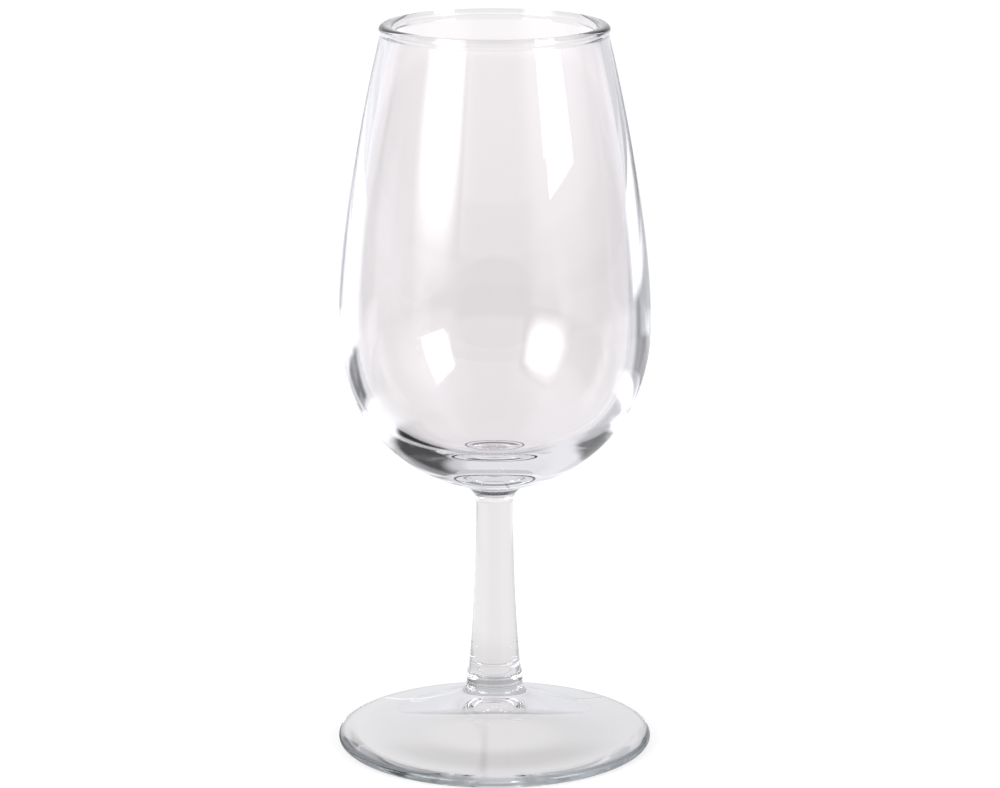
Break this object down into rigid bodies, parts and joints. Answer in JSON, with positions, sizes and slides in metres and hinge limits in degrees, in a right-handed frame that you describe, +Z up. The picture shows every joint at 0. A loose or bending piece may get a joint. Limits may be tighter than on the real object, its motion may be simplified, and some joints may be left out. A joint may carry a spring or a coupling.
{
  "type": "port glass",
  "caption": "Small stemmed drinking glass with a tall tulip bowl that narrows to a beaded rim, a solid stem and a round flat foot.",
  "frame": {"origin": "centre of the foot's bearing ring, on the table", "axes": "+Z up along the axis of the glass; it is round, so +X and +Y are any two level directions"},
  "size_m": [0.067, 0.067, 0.155],
  "materials": {
    "clear_glass": "clear, fire polished, gloss"
  },
  "bodies": {
    "root": {"bowl": "clear_glass", "stem": "clear_glass", "foot": "clear_glass"}
  },
  "joints": []
}
